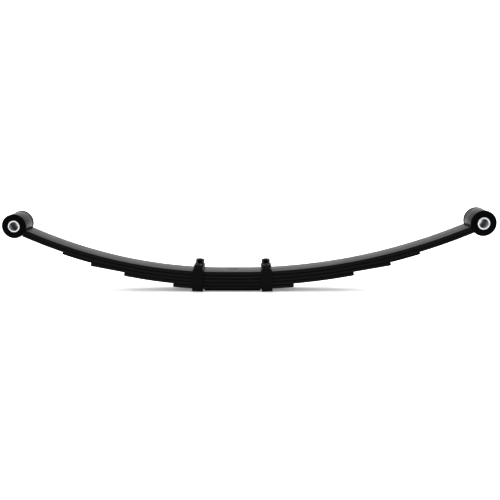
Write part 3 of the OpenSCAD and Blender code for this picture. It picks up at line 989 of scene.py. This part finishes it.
# %% Seat plate
def pulled(name, outline, low, high, material, axis="Y"):
    """A closed side outline (a, b) in mm, pulled from low to high along an axis."""
    shape = bmesh.new()
    place = {"Y": lambda a, b, c: (a, c, b), "Z": lambda a, b, c: (a, b, c)}[axis]
    near = [shape.verts.new(Vector(place(a, b, low)) * MM) for a, b in outline]
    far = [shape.verts.new(Vector(place(a, b, high)) * MM) for a, b in outline]
    count = len(outline)
    shape.faces.new(near)
    shape.faces.new(list(reversed(far)))
    for i in range(count):
        j = (i + 1) % count
        shape.faces.new((near[j], near[i], far[i], far[j]))
    bmesh.ops.recalc_face_normals(shape, faces=shape.faces)
    mesh = mesh_from(name, shape)
    mesh.materials.append(material)
    return new_piece(name, mesh)


def soften(piece, width_mm, segments=2, angle_deg=30.0):
    """Round a piece's sharp edges."""
    modifier = piece.modifiers.new("edges", "BEVEL")
    modifier.width = width_mm * MM
    modifier.segments = segments
    modifier.limit_method = "ANGLE"
    modifier.angle_limit = math.radians(angle_deg)
    return finished(settle(piece))


SEAT_HALF, SEAT_LIP, SEAT_FLATS = 72.0, 1.3, 12
LEAF_CLEAR, SEAT_HOLE_R = 0.02, SPIGOT_R + 2.5
TAB_TOP_X, TAB_LOW_X, TAB_W, TAB_UP, TAB_DEEP = 40.0, 29.0, 3.0, 1.7, 1.1
top_line = []
for side in (LEFT, RIGHT):
    end = angle_at(side, PACK_H, SEAT_HALF)
    steps = [on_arm(side, PACK_H + LEAF_CLEAR, end * k / SEAT_FLATS)
             for k in range(SEAT_FLATS + 1)]
    top_line += reversed(steps) if side == LEFT else steps
seat_outline = [(-SEAT_HALF, 0.0)] + [(p.x, p.z) for p in top_line] + [(SEAT_HALF, 0.0)]
seat_edge = LEAF_W / 2 + SEAT_LIP
seat = pulled("seat_plate_body", seat_outline, -seat_edge, seat_edge, clamp_enamel)
seat_hole = plug("seat_hole", [(SEAT_HOLE_R, -CUT_PAST), (SEAT_HOLE_R, CUT_PAST)])
cut(seat, seat_hole)
discard(seat_hole)
for row in (-1, 1):
    for side in (LEFT, RIGHT):
        tab_outline = [(side * x, z) for x, z in (
            (TAB_TOP_X, SEAT_T + TAB_UP), (TAB_TOP_X - TAB_W, SEAT_T + TAB_UP),
            (TAB_LOW_X - TAB_W, 0.0), (TAB_LOW_X, 0.0))]
        low, high = sorted((row * (seat_edge - TAB_DEEP), row * seat_edge))
        tab = pulled("tab", tab_outline, low, high, clamp_enamel)
        cut(seat, tab, "UNION")
        discard(tab)
soften(seat, width_mm=0.3)

# %% [markdown]
# ## The locating nib
# A small pressed nib stands on the third leaf's front edge near the centre bolt.
# It shows the fitter which way round the spring goes.

# %% The locating nib
NIB_X, NIB_OUT, NIB_ROOT = 4.8, 1.6, 0.6
NIB_LOW_HALF, NIB_TOP_HALF, NIB_HALF_H, NIB_ROUND = 7.0, 4.0, 3.7, 2.0
nib_z = TOP_Z - 2 * PITCH - MIDDLE
nib_outline = rounded(
    [(NIB_X + across, nib_z + up) for across, up in (
        (-NIB_LOW_HALF, -NIB_HALF_H), (NIB_LOW_HALF, -NIB_HALF_H),
        (NIB_TOP_HALF, NIB_HALF_H), (-NIB_TOP_HALF, NIB_HALF_H))],
    NIB_ROUND)
nib = soften(pulled("third_leaf_nib", nib_outline, -LEAF_W / 2 - NIB_OUT,
                    -LEAF_W / 2 + NIB_ROOT, leaf_enamel), width_mm=0.7, segments=3)

# %% [markdown]
# ## Clamp straps
# Each rebound clamp is a flat bar bent round the pack, with a threaded stud on
# each end. The bar tree makes it too: only the path and the direction across it
# change. A clamp stands square to its arm, so it leans a little.

# %% Clamp straps
STRAP_W, STRAP_T, STRAP_BEND, STRAP_SIDE, STRAP_UNDER = 27.5, 6.5, 8.0, 0.4, 0.3
STRAP_EDGE = 1.0
STUD_Y = LEAF_W / 2 + STRAP_SIDE + STRAP_T / 2
STUD_R, TIE_T, TIE_LEN = 6.0, 7.0, 89.0
NUT_AF, NUT_H = 19.0, 12.5
clamp_place = {}
for side in (LEFT, RIGHT):
    foot = Vector((side * CLAMP_X, 0.0,
                   TOP_Z + ARM_R[side] * (1 - math.cos(CLAMP_ANGLE[side]))))
    clamp_place[side] = (Matrix.Translation(foot)
                         @ Matrix.Rotation(-side * CLAMP_ANGLE[side], 4, "Y"))


def strap_line():
    """The strap's middle line round the pack, in the clamp's own Y and Z."""
    bend = STRAP_BEND - STRAP_T / 2
    low = -PACK_H - STRAP_UNDER - STRAP_T / 2
    # from just above the main leaf's face down to the bend
    upright = [Vector((0, -STUD_Y, z)) for z in (0.2, -0.3, -14, -28, low + bend)]
    corner = [Vector((0, -STUD_Y + bend - bend * math.cos(a),
                      low + bend - bend * math.sin(a)))
              for a in (math.radians(90 * k / 6) for k in range(1, 7))]
    half = upright + corner + [Vector((0, -14.0, low))]
    return half + [Vector((0, -p.y, p.z)) for p in reversed(half)]


straps = {}
for side in (LEFT, RIGHT):
    place = clamp_place[side]
    line = [place @ p for p in strap_line()]
    across = place.to_3x3() @ Vector((1, 0, 0))
    straps[side] = bar(f"{SIDE_NAME[side]}_clamp_strap_bar", [(p, WHOLE) for p in line],
                       clamp_enamel, 1.0, width=STRAP_W, thickness=STRAP_T, edge=STRAP_EDGE,
                       across=tuple(across))

# %% [markdown]
# ## Studs
# The studs carry a rolled thread, which shows in the top of each nut. A thread is
# a ridge that climbs one pitch each turn: a ring whose radius depends on angle and
# height together, so a plain grid of points bent into a cylinder is enough.

# %% Studs
THREAD_PITCH, THREAD_DEPTH, THREAD_FROM = 1.75, 0.9, 3.0
GROOVE_HALF = 0.4
ROUND_STEPS, ROWS_PER_TURN = 24, 6
STUD_LOW, STUD_TOP, STUD_CHAMFER = 0.1, TIE_T + NUT_H - 1.3, 1.2


def stud_mesh(name):
    """One threaded stud about the Z axis, with a chamfered top."""
    rows = int((STUD_TOP - STUD_LOW) / THREAD_PITCH * ROWS_PER_TURN)
    shape = bmesh.new()
    loops = []
    for row in range(rows + 1):
        z = STUD_LOW + (STUD_TOP - STUD_LOW) * row / rows
        loop = []
        for i in range(ROUND_STEPS):
            a = 2 * math.pi * i / ROUND_STEPS
            turn = (z / THREAD_PITCH - i / ROUND_STEPS) % 1.0
            groove = THREAD_DEPTH * max(0.0, 1.0 - abs(turn - 0.5) / GROOVE_HALF)
            top_limit = STUD_R - max(0.0, z - (STUD_TOP - STUD_CHAMFER))
            radius = min(STUD_R - (groove if z > THREAD_FROM else 0.0), top_limit)
            loop.append(shape.verts.new(Vector((radius * math.cos(a),
                                                radius * math.sin(a), z)) * MM))
        loops.append(loop)
    join_rings(shape, loops)
    cap_ends(shape, loops)
    return mesh_from(name, shape)


stud_part = new_piece("stud_part", stud_mesh("stud_part"))
print("one stud:", len(stud_part.data.polygons), "faces")

# %% [markdown]
# ## One hexagon nut
# A nut is turned before its threads are cut, so each corner is cut back by a cone.
# The outline's radius at an angle is known, and so is the cone's height there, so
# eight rings of points give the exact shape with no boolean.


# %% One hexagon nut
# the face's circle over the flats, the cone's slope, and the bore's lead-in
FACE_SHARE, CONE_SLOPE, NUT_LEAD = 0.965, 0.5, 0.9


def nut_mesh(name, around=72):
    """A hexagon nut on the Z axis, standing on z = 0, with turned corners."""
    flat = NUT_AF / 2
    bore, lead, face = STUD_R + NUT_CLEAR, NUT_LEAD, flat * FACE_SHARE
    shape = bmesh.new()
    rows = [[] for _ in range(8)]
    for i in range(around):
        a = 2 * math.pi * i / around
        edge = flat / math.cos((a % (math.pi / 3)) - math.pi / 6)
        drop = (edge - face) * CONE_SLOPE
        section = [(bore, lead), (bore + lead, 0.0), (face, 0.0), (edge, drop),
                   (edge, NUT_H - drop), (face, NUT_H), (bore + lead, NUT_H),
                   (bore, NUT_H - lead)]
        for row, (radius, z) in zip(rows, section):
            row.append(shape.verts.new(Vector((radius * math.cos(a),
                                               radius * math.sin(a), z)) * MM))
    join_rings(shape, rows + rows[:1])
    bmesh.ops.recalc_face_normals(shape, faces=shape.faces)
    return mesh_from(name, shape)


nut_part = new_piece("nut_part", nut_mesh("nut_part"))
print("one nut:", len(nut_part.data.polygons), "faces")

# %% [markdown]
# ## Four of each
# Four nuts and four studs stand on the two clamps. A Geometry Nodes tree puts a
# part on each point of a small mesh and leans it with its clamp, so there is one
# nut and one stud to keep right, not four.


# %% Parts at points
def parts_tree():
    """The tree that stands one part on each point, leaning as the point says."""
    tree, given = new_tree("parts_at_points", {"Height": 0.0}, [
        ("Part", "NodeSocketObject"), ("Finish", "NodeSocketMaterial")])
    part = add(tree, "GeometryNodeObjectInfo", {"Object": given["Part"]})
    angle = add(tree, "GeometryNodeInputNamedAttribute", {0: "lean"},
                data_type="FLOAT").outputs["Attribute"]
    lean = add(tree, "ShaderNodeCombineXYZ", {1: angle})
    turn = add(tree, "FunctionNodeEulerToRotation", {0: lean.outputs[0]})
    rise = add(tree, "FunctionNodeRotateVector", {
        0: add(tree, "ShaderNodeCombineXYZ", {2: given["Height"]}).outputs[0],
        1: turn.outputs[0]})
    points = add(tree, "GeometryNodeMeshToPoints", {0: given["Geometry"]})
    raised = add(tree, "GeometryNodeSetPosition", {
        "Geometry": points.outputs[0], "Offset": rise.outputs[0]})
    placed = add(tree, "GeometryNodeInstanceOnPoints", {
        "Points": raised.outputs[0], "Instance": part.outputs["Geometry"],
        "Rotation": turn.outputs[0]})
    finish_tree(tree, placed.outputs[0], given["Finish"])
    return tree


PARTS = parts_tree()
NUT_GAP = 0.35


def at_studs(name, sides, part, height, material):
    """One part at each stud of the given clamps, as one piece."""
    mesh = bpy.data.meshes.new(name)
    spots = [(side, row) for side in sides for row in (-1, 1)]
    mesh.from_pydata([(clamp_place[s] @ Vector((0, r * STUD_Y, 0))) * MM
                      for s, r in spots], [], [])
    lean = mesh.attributes.new("lean", "FLOAT", "POINT")
    lean.data.foreach_set("value", [-s * CLAMP_ANGLE[s] for s, _ in spots])
    piece = run_tree(new_piece(name, mesh), PARTS, {
        "Height": height * MM, "Part": part, "Finish": material})
    return finished(piece)


nuts = at_studs("clamp_nuts", (LEFT, RIGHT), nut_part, TIE_T + NUT_GAP, fastener_black)
studs = {side: at_studs(f"{SIDE_NAME[side]}_clamp_studs", (side,), stud_part, 0.0,
                        fastener_black) for side in (LEFT, RIGHT)}
discard(nut_part, stud_part)

# %% [markdown]
# ## Tie plates
# A thick plate lies over the main leaf at each clamp, and the nuts pull it down.
# It is sawn from flat bar, drilled for the studs, and its edges are broken.

# %% Tie plates
TIE_GAP, TIE_CORNER, STUD_CLEAR = 0.3, 4.0, 0.5
ties = {}
for side in (LEFT, RIGHT):
    corners = [(-STRAP_W / 2, -TIE_LEN / 2), (STRAP_W / 2, -TIE_LEN / 2),
               (STRAP_W / 2, TIE_LEN / 2), (-STRAP_W / 2, TIE_LEN / 2)]
    plate = pulled(f"{SIDE_NAME[side]}_clamp_tie_plate", rounded(corners, TIE_CORNER, 6),
                   TIE_GAP, TIE_GAP + TIE_T, clamp_enamel, axis="Z")
    for row in (-1, 1):
        drill = plug("drill", [(STUD_R + STUD_CLEAR, -CUT_PAST),
                               (STUD_R + STUD_CLEAR, CUT_PAST)])
        drill.data.transform(Matrix.Translation((0, row * STUD_Y * MM, 0)))
        cut(plate, drill)
        discard(drill)
    soften(plate, width_mm=0.8, segments=3)
    place = clamp_place[side].copy()
    place.translation = place.translation * MM
    plate.data.transform(place)
    ties[side] = plate

# %% [markdown]
# ## Bodies
# The middles and clamps belong to the pack, the bushes ride with their eyes, and
# each sleeve rides on a body of its own. The arms, which bend on the real spring,
# are fixed where they stand, with no body.

# %% Bodies
PACK = "spring_pack"


def fix(piece, body, slot, *nodes):
    """Ride a piece on a body, and hide the CAD nodes it stands in for."""
    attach(piece, body)
    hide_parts(*nodes)


def bend_with(piece, node):
    """Bake a piece's place into its mesh, and hide the CAD node it stands in for."""
    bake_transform(piece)
    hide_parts(node)


for leaf in LEAF_NAMES:
    fix(middles[leaf], PACK, "leaf_paint", leaf)
for (side, level), piece in arms.items():
    bend_with(piece, LEAF_NAMES[level])
fix(nib, PACK, "leaf_paint", "third_leaf")
fix(seat, PACK, "clamp_paint", "seat_plate")
fix(bolt, PACK, "fastener_black", "centre_bolt")
fix(nut_low, PACK, "fastener_black", "centre_nut")
fix(nuts, PACK, "fastener_black",
    *(f"{s}_clamp_nut_{w}" for s in ("left", "right") for w in ("front", "rear")))
for side in (LEFT, RIGHT):
    name = SIDE_NAME[side]
    bend_with(liners[side], f"{name}_tip_liner")
    fix(straps[side], PACK, "clamp_paint", f"{name}_clamp_strap")
    fix(studs[side], PACK, "fastener_black", f"{name}_clamp_strap")
    fix(ties[side], PACK, "clamp_paint", f"{name}_clamp_plate")
    fix(bushes[side, -1], f"{name}_eye", "bush_rubber", f"{name}_bush_front")
    fix(bushes[side, 1], f"{name}_eye", "bush_rubber", f"{name}_bush_rear")
    fix(sleeves[side], f"{name}_eye_tube", "sleeve_steel", f"{name}_sleeve")

# %% [markdown]
# ## The studio
# A pale floor and a white sweep behind it show a black part best: its upper faces
# mirror the bright sweep at a low angle, while its sides face the dim front of
# the room and stay dark. The floor is a wide plane with a faint cloud in its
# paint, and it glows a little, as a light table does, to lift the shade under the
# part. The room is a world whose brightness depends on direction.

# %% The studio floor
FLOOR_Z, FLOOR_HALF_M = -3.2, 30.0
FLOOR_GLOW = 0.18
floor_mesh = bpy.data.meshes.new("studio_floor")
floor_mesh.from_pydata([(x * FLOOR_HALF_M, y * FLOOR_HALF_M, FLOOR_Z * MM)
                        for x, y in ((-1, -1), (1, -1), (1, 1), (-1, 1))],
                       [], [(0, 1, 2, 3)])
floor = new_piece("studio_floor", floor_mesh)
floor_paint, tree, shader = new_material("matt_studio_paint")
cloud = add(tree, "ShaderNodeTexNoise", {
    "Vector": add(tree, "ShaderNodeTexCoord").outputs["Object"],
    "Scale": 2.0, "Detail": 3.0})
tint = add(tree, "ShaderNodeMix", {
    0: cloud.outputs[0], 6: linear("#f1f1f1"), 7: linear("#f6f6f6")}, data_type="RGBA")
tree.links.new(tint.outputs[2], shader.inputs["Base Color"])
shader.inputs["Roughness"].default_value = 0.9
shader.inputs["Specular IOR Level"].default_value = 0.1
shader.inputs["Emission Color"].default_value = linear("#ffffff")
shader.inputs["Emission Strength"].default_value = FLOOR_GLOW
floor_mesh.materials.append(floor_paint)
print("floor at", FLOOR_Z, "mm")

# %% [markdown]
# ## The room's light
# The brightest part of the room lies behind and above the spring, where the top
# faces mirror it. A picture of a room could be wrapped round the scene, but one
# smooth step from dim to bright gives the same look with nothing to load. The
# camera itself sees plain white. Two soft lamps add shape, and a longer exposure
# with a lower gamma keeps the blacks deep beside the white floor.

# %% The room's light
SWEEP_AT = (0.0, 0.85, 0.53)
DIM_BELOW, BRIGHT_ABOVE = -0.3, 0.25
DIM, BRIGHT = 0.16, 1.0
EXPOSURE, GAMMA = 0.65, 0.82
world = bpy.data.worlds.new("studio_room")
bpy.context.scene.world = world
world.use_nodes = True
tree = world.node_tree
tree.nodes.clear()
direction = add(tree, "ShaderNodeTexCoord").outputs["Generated"]
towards = add(tree, "ShaderNodeVectorMath", {0: direction, 1: SWEEP_AT},
              operation="DOT_PRODUCT").outputs["Value"]
room = add(tree, "ShaderNodeMapRange", {
    0: towards, 1: DIM_BELOW, 2: BRIGHT_ABOVE, 3: DIM, 4: BRIGHT},
    interpolation_type="SMOOTHSTEP")
room_light = add(tree, "ShaderNodeBackground", {
    "Color": linear("#ffffff"), "Strength": room.outputs[0]})
sweep = add(tree, "ShaderNodeBackground", {
    "Color": linear("#ffffff"), "Strength": BRIGHT})
seen = add(tree, "ShaderNodeLightPath").outputs["Is Camera Ray"]
both = add(tree, "ShaderNodeMixShader", {
    0: seen, 1: room_light.outputs[0], 2: sweep.outputs[0]})
add(tree, "ShaderNodeOutputWorld", {0: both.outputs[0]})


def softbox(name, at, aim, size, power):
    """A square area light at a place, aimed at a point, sizes in metres."""
    data = bpy.data.lights.new(name, "AREA")
    data.size = size
    data.energy = power
    lamp = bpy.data.objects.new(name, data)
    lamp.location = at
    lamp.rotation_euler = (Vector(aim) - Vector(at)).to_track_quat("-Z", "Y").to_euler()
    bpy.context.collection.objects.link(lamp)
    return lamp


AIM = (0.0, 0.0, 0.05)
softbox("overhead_softbox", (0.0, 0.9, 2.2), AIM, size=2.6, power=38.0)
softbox("front_fill", (-0.9, -2.2, 1.6), AIM, size=1.2, power=6.0)
view = bpy.context.scene.view_settings
view.view_transform = "Standard"
view.exposure = EXPOSURE
view.gamma = GAMMA
print("lights placed")
